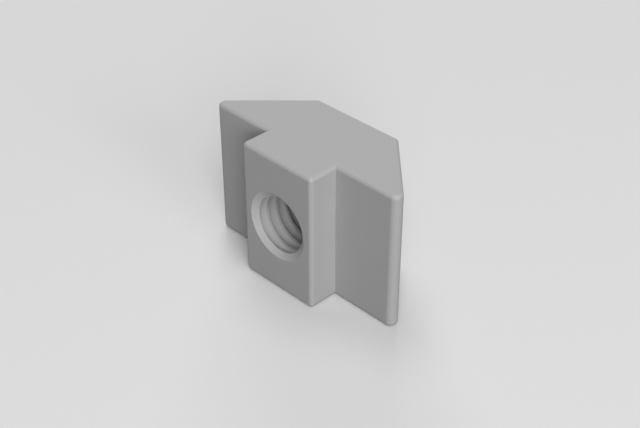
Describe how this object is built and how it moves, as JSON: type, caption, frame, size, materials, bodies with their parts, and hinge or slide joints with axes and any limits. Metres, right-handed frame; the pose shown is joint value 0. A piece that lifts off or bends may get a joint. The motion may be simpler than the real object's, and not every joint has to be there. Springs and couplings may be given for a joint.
{
  "type": "t-slot nut",
  "caption": "T-slot nut with a rectangular neck on a flange with tapered sides, all its edges rounded, threaded right through for a metric screw. It slides in the slot of an aluminium profile.",
  "frame": {"origin": "middle of the bottom end: on the mirror plane through the screw hole, half way between the front of the neck and the back face", "axes": "+X across the slot, -Y out of the slot through the neck, +Y towards the back face, +Z along the slot. The nut stands on one end."},
  "size_m": [0.0202, 0.0092, 0.0125],
  "materials": {
    "plated_steel": "matte, finely blasted and plated, grey"
  },
  "bodies": {
    "root": {"slot_nut": "plated_steel"}
  },
  "joints": []
}
